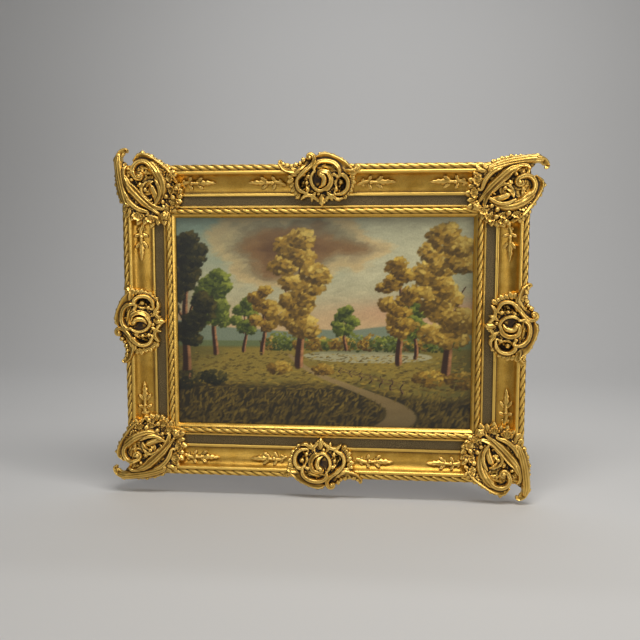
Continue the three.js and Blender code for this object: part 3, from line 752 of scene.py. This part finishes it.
def make_castings(material):
    corner = casting(corner_field(), CORNER_FACES, SINK)
    cartouche = casting(cartouche_field(), CARTOUCHE_FACES, SINK)
    spray = casting(spray_field(), SPRAY_FACES, SINK)
    sprays = {1: spray, -1: mirror(spray)}
    for side, name in enumerate(SIDES):
        half, reach = LENGTHS[side] / 2, reach_of(side)
        put_casting(f"corner_{CORNERS[side]}", corner, side, -half, reach, material)
        put_casting(f"cartouche_{name}", cartouche, side, 0, reach, material)
        starts = {"start": (SPRAY_FROM_CORNER - half, 1), "end": (half - SPRAY_FROM_CORNER, -1)}
        if side % 2 == 0:
            starts.update(mid_start=(-SPRAY_FROM_MIDDLE, -1), mid_end=(SPRAY_FROM_MIDDLE, 1))
        for place_name, (x, way) in starts.items():
            put_casting(f"spray_{name}_{place_name}", sprays[way], side, x, reach, material)


# ---- rails
ROPE_PITCH = 22


def arc(centre, radius, start, end, count, relief):
    angles = np.radians(np.linspace(start, end, count))
    x, z = centre
    return [(x + radius * math.cos(a), z + radius * math.sin(a), relief) for a in angles]


ROPE_GRID = 2.2  # between points along a rail
# [u, v, relief] over the front, from the outer edge to the lip and back along the rabbet. The relief,
# given point by point, darkens the creases with grime and painted shade and lightens the ridges with
# painted highlight.
OUTER_CENTRE, INNER_CENTRE = (7.6, 42.4), (105, 29.2)
OUTER_ROPE = arc(OUTER_CENTRE, 7.4, 212, 44, 11, 0.62)
INNER_ROPE = arc(INNER_CENTRE, 6.2, 176, 8, 9, 0.62)
BETWEEN = [
    (13.6, 47.0, 0.1), (14.3, 49.6, 0.5), (16.0, 51.4, 0.8), (18.4, 52.0, 0.9), (20.8, 51.4, 0.9),
    (22.4, 49.4, 0.7), (24.4, 45.4, 0.5), (27.5, 41.6, 0.48), (31, 38.5, 0.46), (35, 35.9, 0.46),
    (40, 33.5, 0.47), (45, 31.8, 0.48), (51, 30.5, 0.5), (57, 29.8, 0.5), (63.6, 29.5, 0.38),
    (64.6, 29.6, 0.12), (65.2, 32.0, 0.6), (66, 32.5, 0.86), (70.8, 32.5, 0.8), (71.6, 32.1, 0.6),
    (72.4, 28.6, 0.1), (74, 28.5, 0.4), (91, 28.5, 0.4), (92.5, 28.6, 0.1), (93.3, 31.0, 0.6),
    (94, 31.5, 0.82), (97, 31.5, 0.7), (98.2, 29.8, 0.15),
]
LIP = [
    (111.6, 29.6, 0.1), (112.4, 30.2, 0.6), (114, 29.6, 0.72), (119.6, 22.8, 0.7), (120, 22, 0.8),
    (120, 19.3, 0.2),
]
REAR = [(112, 19.3, 0.3), (112, 0, 0.5), (6, 0, 0.5)]
OUTER_SIDE = [(0.2, 28, 0.35), (1.2, 35.6, 0.15)]
PROFILE = OUTER_ROPE + BETWEEN + INNER_ROPE + LIP + REAR + OUTER_SIDE


def strands(x, arc_length, depth):
    """How far a rope's surface lies below its envelope, and the relief that goes with it, which paints the
    grooves between the strands with grime and painted shade and their crests with painted highlight.
    """
    bulge = np.abs(np.sin(math.pi * (x - 1.5 * arc_length) / ROPE_PITCH)) ** 0.62
    return depth * (bulge - 1), 0.08 + 0.8 * bulge


def make_rail(side, materials):
    name, length = SIDES[side], LENGTHS[side]
    profile = np.array(PROFILE)
    count = int(length / ROPE_GRID)
    t = np.linspace(-1, 1, count + 1)
    x = t[:, None] * (length / 2 - profile[None, :, 0] - GAP / math.sqrt(2))
    u = np.repeat(profile[None, :, 0], count + 1, axis=0)
    v = np.repeat(profile[None, :, 1], count + 1, axis=0)
    relief = np.repeat(profile[None, :, 2], count + 1, axis=0)
    ropes = (
        (0, len(OUTER_ROPE), 2.2, OUTER_CENTRE),
        (len(OUTER_ROPE) + len(BETWEEN), len(INNER_ROPE), 2.0, INNER_CENTRE),
    )
    for first, many, depth, centre in ropes:
        rows = slice(first, first + many)
        steps = np.hypot(*np.diff(profile[rows, :2], axis=0).T)
        along_arc = np.concatenate([[0], np.cumsum(steps)])
        inward, shade = strands(x[:, rows], along_arc[None], depth)
        away = profile[rows, :2] - centre
        away /= np.linalg.norm(away, axis=1)[:, None]
        u[:, rows] += inward * away[None, :, 0]
        v[:, rows] += inward * away[None, :, 1]
        relief[:, rows] = shade
    # hand-cut edges waver a little
    wave = 0.25 * np.sin(x / 61 + side) * np.sin(x / 23 + 2 * side + u / 9)
    front = (v > 24) & (u > 16)
    v = v + wave * front
    points = np.stack([x, -u, v], axis=-1).reshape(-1, 3)
    many = len(profile)
    i, j = np.meshgrid(np.arange(count), np.arange(many), indexing="ij")
    i, j = i.ravel(), j.ravel()
    k = (j + 1) % many
    faces = np.column_stack([i * many + j, i * many + k, (i + 1) * many + k, (i + 1) * many + j])
    rail = make_mesh(f"rail_{name}_carved", place(points, side, 0, reach_of(side)), faces, materials, 40)
    set_values(rail, "relief", relief.ravel())
    # gilding, the sanded panel, then bare wood at the back
    middle_u = (profile[j, 0] + profile[k, 0]) / 2
    first_rear = many - len(REAR) - len(OUTER_SIDE)
    sanded = (middle_u > 72.5) & (middle_u < 92.4) & (j < first_rear)
    slot = np.where(sanded, 1, 0)
    slot[(j >= first_rear - 1) & (j < many - 2)] = 2
    rail.data.polygons.foreach_set("material_index", slot.astype(np.int32))
    finish_piece(rail, "gilded_rail", f"rail_{name}")


# ---- the painting
CANVAS = (700, 500)
FRONT_V = 18.65
MESH_COLUMNS, MESH_ROWS = 350, 250


def linear(colour):
    """sRGB to linear."""
    colour = np.asarray(colour, float)
    return np.where(colour < 0.04045, colour / 12.92, ((colour + 0.055) / 1.055) ** 2.4)


class Picture:
    """A landscape laid down in dabs. a runs right and b up, in millimetres."""

    def __init__(self):
        self.a = np.linspace(0, CANVAS[0], MESH_COLUMNS + 1)
        self.b = np.linspace(0, CANVAS[1], MESH_ROWS + 1)
        self.A, self.B = np.meshgrid(self.a, self.b, indexing="ij")
        self.colour = np.zeros(self.A.shape + (3,))
        self.paint = np.zeros(self.A.shape)  # thickness

    def clouds(self, cell, octaves=4, seed=0, stretch=1.0):
        """Smooth noise from 0 to 1."""
        random = np.random.default_rng(seed)
        total, weight = np.zeros(self.A.shape), 0.0
        for octave in range(octaves):
            size = cell / 2 ** octave
            nodes = random.random((int(CANVAS[0] / size / stretch) + 3, int(CANVAS[1] / size) + 3))
            x, y = self.A / size / stretch, self.B / size
            i, j = x.astype(int), y.astype(int)
            fx, fy = smooth(0, 1, x - i), smooth(0, 1, y - j)
            low = nodes[i, j] * (1 - fx) + nodes[i + 1, j] * fx
            high = nodes[i, j + 1] * (1 - fx) + nodes[i + 1, j + 1] * fx
            total += (low * (1 - fy) + high * fy) / 2 ** octave
            weight += 1 / 2 ** octave
        return total / weight

    def at(self, a, b):
        """The indices of the grid point below and left of a place."""
        return int(a / 2), int(b / 2)

    def wash(self, share, colour):
        share = np.clip(share, 0, 1)[..., None]
        self.colour = self.colour * (1 - share) + np.asarray(colour) * share

    def dab(self, a, b, long, wide, angle, colour, cover=0.85, thick=0.1):
        size = max(long, wide)
        i0, i1 = np.searchsorted(self.a, (a - size, a + size))
        j0, j1 = np.searchsorted(self.b, (b - size, b + size))
        if i0 >= i1 or j0 >= j1:
            return
        da, db = self.A[i0:i1, j0:j1] - a, self.B[i0:i1, j0:j1] - b
        c, s = math.cos(angle), math.sin(angle)
        r = ((da * c + db * s) / long) ** 2 + ((db * c - da * s) / wide) ** 2
        share = np.clip(1.6 * (1 - r), 0, 1) * cover
        block = self.colour[i0:i1, j0:j1]
        block += (np.asarray(colour) - block) * share[..., None]
        layer = self.paint[i0:i1, j0:j1]
        layer += (thick - layer) * share * 0.6

    def foliage(self, centre, radii, colours, count, size, random, light=(0.55, 0.8)):
        """A rounded mass of leaves: dark dabs low down, lit ones on the side of the light."""
        dark, middle, bright = (np.asarray(c) for c in colours)
        spots = []
        for _ in range(count):
            r, angle = math.sqrt(random.random()), random.uniform(0, 2 * math.pi)
            spots.append((r * math.cos(angle), r * math.sin(angle)))
        for step, (x, y) in enumerate(spots):
            lit = 0.5 + 0.55 * (x * light[0] + y * light[1]) + random.normal(0, 0.2)
            lit *= 0.45 + 0.75 * step / count
            colour = dark + (middle - dark) * min(1, max(0, lit * 2))
            colour = colour + (bright - colour) * min(1, max(0, lit * 2 - 1))
            scale = random.uniform(0.6, 1.2)
            self.dab(
                centre[0] + x * radii[0], centre[1] + y * radii[1], size * scale, size * scale * 0.55,
                random.uniform(-0.9, 1.2), colour * random.uniform(0.88, 1.1), 0.8,
                random.uniform(0.05, 0.3),
            )

    def trunk(self, foot, top, wide, colours, random):
        for step in range(46):
            t = step / 45
            a = foot[0] + (top[0] - foot[0]) * t + 3 * math.sin(t * 7 + foot[0])
            b = foot[1] + (top[1] - foot[1]) * t
            half = wide * (1 - 0.65 * t) / 2
            self.dab(a - half * 0.5, b, half * 1.3, half, 1.5, colours[0], 0.9, 0.1)
            lit = np.asarray(colours[1]) * random.uniform(0.8, 1.1)
            self.dab(a + half * 0.4, b, half * 0.9, half * 0.6, 1.5, lit, 0.8, 0.2)

    def tree(self, foot, height, spread, colours, random, bark, size=7, crown=0.62):
        top = (foot[0] + spread * 0.05, foot[1] + height * 0.8)
        self.trunk(foot, top, height * 0.055 + 2, bark, random)
        for limb in (-1, 1):
            start = (foot[0], foot[1] + height * 0.35)
            end = (start[0] + limb * spread * 0.5, start[1] + height * 0.26)
            self.trunk(start, end, height * 0.022 + 1, bark, random)
        clumps = int(9 + height / 26)
        for k in range(clumps):
            t = (k + 0.5) / clumps
            level = foot[1] + height * (1 - crown + crown * t)
            width = spread * math.sin(math.pi * (0.16 + 0.74 * t)) ** 0.8
            a = foot[0] + random.uniform(-0.75, 0.75) * width
            radii = (spread * random.uniform(0.34, 0.5), spread * random.uniform(0.22, 0.34))
            self.foliage((a, level), radii, colours, int(60 + radii[0] * radii[1] / 9), size, random)


def paint_landscape():
    p = Picture()
    random = np.random.default_rng(31)
    up = p.B / CANVAS[1]
    # sky: teal above, cream and rose towards the hills
    p.colour[:] = (0.74, 0.68, 0.50)
    p.wash(smooth(0.45, 1.0, up), (0.50, 0.58, 0.50))
    p.wash(0.75 * smooth(0.62, 0.48, up), (0.80, 0.66, 0.47))
    p.wash(0.5 * np.exp(-((up - 0.56) / 0.06) ** 2) * smooth(250, 560, p.A), (0.78, 0.52, 0.38))
    drift = p.clouds(150, 5, 3, 1.8)
    p.wash(0.75 * smooth(0.48, 0.70, drift) * smooth(0.5, 0.75, up), (0.78, 0.74, 0.58))
    # the brown cloud bank
    bank = p.clouds(120, 5, 11, 1.6)
    shape = bank + 0.55 - np.abs(up - 0.84) * 2.1 - np.abs(p.A - 215) / 560
    p.wash(0.92 * smooth(0.56, 0.86, shape), (0.50, 0.36, 0.20))
    p.wash(0.85 * smooth(0.80, 1.05, shape), (0.35, 0.24, 0.13))
    p.wash(0.6 * smooth(0.5, 0.6, shape) * (1 - smooth(0.62, 0.74, shape)), (0.80, 0.66, 0.42))
    for _ in range(1500):
        a, b = random.uniform(0, CANVAS[0]), random.uniform(215, CANVAS[1])
        angle = random.normal(0.15, 0.3)
        tone = p.colour[p.at(a, b)] * random.uniform(0.94, 1.07)
        p.dab(a, b, 16, 4.5, angle, tone, 0.55, random.uniform(0.02, 0.14))
    # hills
    for base, height, colour, seed in ((222, 58, (0.48, 0.52, 0.42), 5), (205, 44, (0.40, 0.44, 0.27), 8)):
        ridge = base + height * (p.clouds(210, 3, seed, 1.3)[:, :1] - 0.3)
        p.wash(smooth(ridge + 2, ridge - 2, p.B), colour)
    # meadow, then the lake in the middle distance on the right
    field = p.clouds(60, 5, 17, 3.0)
    p.wash(smooth(196, 188, p.B), (0.42, 0.38, 0.16))
    p.wash(0.7 * smooth(0.45, 0.7, field) * smooth(196, 186, p.B), (0.62, 0.52, 0.20))
    water = smooth(1.05, 0.95, ((p.A - 455) / 150) ** 2 + ((p.B - 172) / 15) ** 2)
    p.wash(water, (0.66, 0.63, 0.47))
    p.wash(0.7 * water * smooth(174, 186, p.B), (0.34, 0.36, 0.22))
    for _ in range(90):
        a, b = random.uniform(320, 600), random.uniform(160, 186)
        p.dab(a, b, 16, 1.6, 0, (0.72, 0.68, 0.5), 0.35 * random.random(), 0.05)
    # far trees along the shore
    green = ((0.16, 0.20, 0.07), (0.36, 0.40, 0.12), (0.58, 0.60, 0.22))
    gold = ((0.27, 0.19, 0.05), (0.56, 0.42, 0.11), (0.80, 0.66, 0.26))
    ochre = ((0.30, 0.22, 0.06), (0.64, 0.49, 0.15), (0.86, 0.74, 0.36))
    shade = ((0.07, 0.075, 0.03), (0.16, 0.16, 0.06), (0.34, 0.30, 0.11))
    bark = ((0.20, 0.11, 0.05), (0.70, 0.48, 0.30))
    for a in range(225, 660, 17):
        size = random.uniform(13, 26)
        tones = green if random.random() < 0.6 else gold
        p.foliage((a, 192 + size * 0.5), (size, size * 0.85), tones, 60, 5, random)
    # a track that comes in from the right and bends away to the left
    t = np.clip(p.B / 178, 0, 1)
    middle = 500 - 190 * t + 120 * np.sin(t * 4.4) * (1 - t) - 40 * t * t
    half = 44 * (1 - t) ** 1.3 + 5
    track = smooth(1.1, 0.8, np.abs(p.A - middle) / half) * (p.B < 176)
    p.wash(0.9 * track, (0.66, 0.56, 0.36))
    p.wash(0.5 * track * p.clouds(26, 3, 4, 3.0), (0.46, 0.36, 0.20))
    # trees at middle distance
    for foot, height, spread, tones, size in (
        ((96, 176), 190, 50, green, 7), ((168, 182), 120, 34, green, 6), ((212, 178), 150, 36, gold, 6),
        ((404, 188), 96, 30, green, 6), ((566, 170), 132, 40, green, 6),
    ):
        p.tree(foot, height, spread, tones, random, bark, size)
    # the near ground: dark banks with lit grasses
    bank = p.clouds(90, 4, 23, 2.2)
    near = 96 + 46 * bank - 0.045 * (p.A - 80)
    dark = smooth(near, near - 26, p.B) * (1 - 0.8 * track)
    p.wash(0.9 * dark, (0.15, 0.12, 0.045))
    for _ in range(2600):
        a, b = random.uniform(0, CANVAS[0]), random.uniform(2, 178)
        spot = p.at(a, b)
        if track[spot] > 0.4:
            continue
        lit = random.random() * (0.35 + 0.65 * bank[spot]) * (1 - 0.35 * dark[spot])
        tone = np.array((0.24, 0.19, 0.06)) + lit * np.array((0.66, 0.56, 0.22))
        size = 3.5 + 5 * (1 - b / 178)
        angle = random.normal(0.9, 0.5) if b < 90 else random.normal(0.1, 0.2)
        p.dab(a, b, size * 1.3, size * 0.4, angle, tone, 0.7, random.uniform(0.05, 0.3))
    # near trees
    for foot, height, spread, tones, size, crown in (
        ((26, 120), 330, 62, shade, 8, 0.75), ((300, 150), 300, 74, ochre, 8, 0.74),
        ((640, 128), 340, 78, ochre, 8, 0.76), ((532, 158), 236, 50, gold, 7, 0.72),
    ):
        p.tree(foot, height, spread, tones, random, bark, size, crown)
    for a, b, r in (
        (18, 112, 46), (92, 118, 34), (250, 142, 30), (352, 140, 26), (600, 122, 40), (676, 118, 40),
    ):
        p.foliage((a, b), (r, r * 0.5), shade if a < 100 else gold, 140, 6, random)
    # a rail fence beside the track
    post = ((0.18, 0.11, 0.06), (0.52, 0.40, 0.24))
    for k in range(7):
        a, b, tall = 392 + 24 * k, 132 - 7.5 * k, 15 + 2.2 * k
        p.trunk((a, b), (a + 1, b + tall), 3 + 0.3 * k, post, random)
        if k < 6:
            for rise in (0.45, 0.8):
                for s in range(14):
                    q = s / 14
                    p.dab(a + 24 * q, b + tall * rise - 7 * q, 3, 0.9, -0.25, (0.42, 0.31, 0.18), 0.8, 0.2)
    # shade at the foot and a soft darkening to the edges
    edge = np.minimum(np.minimum(p.A, CANVAS[0] - p.A) / 90, np.minimum(p.B, CANVAS[1] - p.B) / 80)
    p.colour *= (0.80 + 0.20 * smooth(0, 1, edge))[..., None]
    return p


def oil_paint():
    n = Nodes("oil_paint")
    pigment = n.add("Attribute", attribute_name="pigment").outputs["Color"]
    bristle = n.noise(900, 3, 0.6, (1, 1, 0.35))
    dabs = n.noise(230, 3, 0.6)
    colour = n.mix(0.22, pigment, n.ramp(dabs, [(0.3, 0.25), (0.7, 0.75)]), "OVERLAY")
    colour = n.mix(0.18, colour, n.ramp(bristle, [(0.3, 0.35), (0.7, 0.65)]), "OVERLAY")
    rough = n.ramp(dabs, [(0.3, 0.34), (0.7, 0.52)])
    normal = n.bump(bristle, 0.0003, 0.5, n.bump(dabs, 0.0007, 0.5))
    return n.finish(colour, rough, 0.0, normal)


def raw_linen():
    n = Nodes("raw_linen")
    across = n.add("TexWave", Scale=260, Distortion=1.2, bands_direction="X")
    upward = n.add("TexWave", Scale=260, Distortion=1.2, bands_direction="Z")
    for wave in (across, upward):
        n.link(n.position(), wave.inputs["Vector"])
    weave = n.maths("MULTIPLY", across.outputs["Fac"], upward.outputs["Fac"])
    cloth = n.mix(n.noise(14, 5), (0.30, 0.22, 0.13), (0.46, 0.37, 0.24))
    # the cloth is darker where the weave dips: painted shade between the threads
    cloth = n.mix(n.ramp(weave, [(0.0, 0.45), (0.5, 0.0)]), cloth, (0.17, 0.12, 0.07))
    return n.finish(cloth, 0.9, 0.0, n.bump(weave, 0.0005, 0.8))


def grid_faces(columns, rows):
    """The first corner of each quad of a grid of points stored column by column."""
    ci, cj = np.meshgrid(np.arange(columns - 1), np.arange(rows - 1), indexing="ij")
    return (ci * rows + cj).ravel()


FOLDS = [0.9, 6.5, 12.5, 18.0]  # v of the rows that are folded over the stretcher's edge
TURN = len(FOLDS)
ABOVE = 99  # higher than any row of the painting


def with_folds(along, width):
    """Places over one side of the cloth with its folds, their depth, and the grid row of each."""
    places = np.concatenate([[0] * TURN, along, [width] * TURN])
    depth = np.concatenate([FOLDS, np.full(len(along), ABOVE), FOLDS[::-1]])
    row = np.clip(np.arange(len(places)) - TURN, 0, len(along) - 1)
    return places, depth, row


def folded(count):
    return np.array([k < TURN or k >= count - 1 - TURN for k in range(count - 1)])


def painted_cloth():
    p = paint_landscape()
    a, depth_a, i = with_folds(p.a, CANVAS[0])
    b, depth_b, j = with_folds(p.b, CANVAS[1])
    paint = p.paint[np.ix_(i, j)]
    v = np.minimum(FRONT_V + paint, np.minimum(depth_a[:, None], depth_b[None, :]))
    x = (a / CANVAS[0] * 2 - 1)[:, None] * 349.1 + 0 * v
    z = (b / CANVAS[1] * 2 - 1)[None, :] * 249.1 + 0 * v
    points = place(np.stack([x, z, v], -1).reshape(-1, 3), 0)
    rows = len(b)
    first = grid_faces(len(a), rows)
    faces = np.column_stack([first, first + rows, first + rows + 1, first + 1])
    faces = faces[~(folded(len(a))[:, None] & folded(rows)[None, :]).ravel()]
    canvas = make_mesh("painted_canvas", points, faces, [oil_paint()])

    rgba = np.ones((len(points), 4), np.float32)
    rgba[:, :3] = linear(np.clip(p.colour, 0, 1))[np.ix_(i, j)].reshape(-1, 3)
    pigments = canvas.data.attributes.new("pigment", "FLOAT_COLOR", "POINT")
    pigments.data.foreach_set("color", rgba.ravel())
    flat = canvas.data.uv_layers.new(name="OFBake")
    loops = np.zeros(len(canvas.data.loops), np.int32)
    canvas.data.loops.foreach_get("vertex_index", loops)
    turned = 19 - np.minimum(v, 19)
    share = np.column_stack([0.5 + (c + np.sign(c) * turned).ravel() / 740 for c in (x, z)])
    flat.data.foreach_set("uv", share[loops].astype(np.float32).ravel())
    return canvas


def cloth_reverse():
    """The cloth's own back, seen between the stretcher's bars."""
    columns, rows = 60, 44
    xs, zs = np.linspace(-348.4, 348.4, columns), np.linspace(-248.4, 248.4, rows)
    gx, gz = np.meshgrid(xs, zs, indexing="ij")
    belly = 17.7 + 0.12 * np.sin(gx / 60) * np.sin(gz / 55)
    points = place(np.stack([gx, gz, belly], -1).reshape(-1, 3), 0)
    first = grid_faces(columns, rows)
    faces = np.column_stack([first, first + 1, first + rows + 1, first + rows])
    return make_mesh("canvas_reverse", points, faces, [raw_linen()])


def make_painting():
    canvas = painted_cloth()
    reverse = cloth_reverse()
    finish_piece(reverse, "painted_canvas")
    finish_piece(canvas, "painted_canvas", "canvas")


# ---- the back
def dress_back(wood, steel):
    nodes = [(f"stretcher_{side}", wood, 0.0012) for side in SIDES]
    nodes += [(f"clip_{side}", steel, 0.0004) for side in SIDES] + [("hanger", steel, 0.0004)]
    for name, material, width in nodes:
        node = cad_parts[name]
        node.data.materials.clear()
        node.data.materials.append(material)
        bevel = node.modifiers.new("edges", "BEVEL")
        bevel.width = width
        bevel.segments = 2


# ---- studio
def make_studio():
    # a pale floor that sweeps up into the wall behind
    low = CAD_BOX[0].z - 0.012
    section = [(-4.0, 0.0), (1.6, 0.0)]
    bend = 1.6
    for a in np.linspace(0.1, math.pi / 2, 14):
        section.append((bend + bend * math.sin(a), bend - bend * math.cos(a)))
    section.append((3.2, 6.0))
    points = [(x, y, low + z) for y, z in section for x in (-7, 7)]
    faces = [(2 * i, 2 * i + 1, 2 * i + 3, 2 * i + 2) for i in range(len(section) - 1)]
    n = Nodes("studio_floor")
    colour = n.ramp(n.noise(0.4, 1), [(0.3, 0.64), (0.7, 0.67)])
    floor = make_mesh("floor", points, faces, [n.finish(colour, 0.9, 0.0)])

    world = bpy.data.worlds.new("studio")
    bpy.context.scene.world = world
    world.use_nodes = True
    world.node_tree.nodes["Background"].inputs["Color"].default_value = (1.0, 0.98, 0.95, 1)
    world.node_tree.nodes["Background"].inputs["Strength"].default_value = 0.12

    def softbox(name, where, aim, size, power, colour=(1, 1, 1)):
        data = bpy.data.lights.new(name, "AREA")
        data.shape = "RECTANGLE"
        data.size, data.size_y = size
        data.energy = power
        data.color = colour
        light = bpy.data.objects.new(name, data)
        light.location = where
        light.rotation_mode = "QUATERNION"
        light.rotation_quaternion = (Vector(aim) - Vector(where)).to_track_quat("-Z", "Y")
        bpy.context.scene.collection.objects.link(light)

    middle = (0, 0, CENTRE_Z / 1000)
    softbox("key_above", (0.3, -0.9, 1.5), middle, (1.8, 0.6), 30, (1, 0.97, 0.92))
    softbox("side_right", (2.1, -1.2, 0.2), middle, (0.6, 1.6), 13, (1, 0.96, 0.9))
    softbox("front_fill", (-0.6, -3.2, 0.3), middle, (1.6, 1.2), 13)
    softbox("backdrop", (0, 0.9, 1.7), (0, 2.7, -0.2), (2.4, 0.6), 24)


def make_camera():
    data = bpy.data.cameras.new("camera")
    data.lens = 45
    data.sensor_width = 36
    camera = bpy.data.objects.new("camera", data)
    bpy.context.scene.collection.objects.link(camera)
    sight = Vector((0, -0.025, CENTRE_Z / 1000))
    yaw, pitch = math.radians(5.825), math.radians(5.994)
    forward = Vector((-math.sin(yaw) * math.cos(pitch), math.cos(yaw) * math.cos(pitch), -math.sin(pitch)))
    camera.location = sight + Vector((0.1822, -1.8335, 0.2005))
    camera.rotation_mode = "QUATERNION"
    camera.rotation_quaternion = forward.to_track_quat("-Z", "Y")
    bpy.context.scene.camera = camera


bpy.context.scene.view_settings.view_transform = "Standard"
make_camera()
make_studio()
gilding, cast_gilding, panel, wood, steel = make_materials()
for side in range(4):
    make_rail(side, [gilding, panel, wood])
make_castings(cast_gilding)
make_painting()
dress_back(wood, steel)
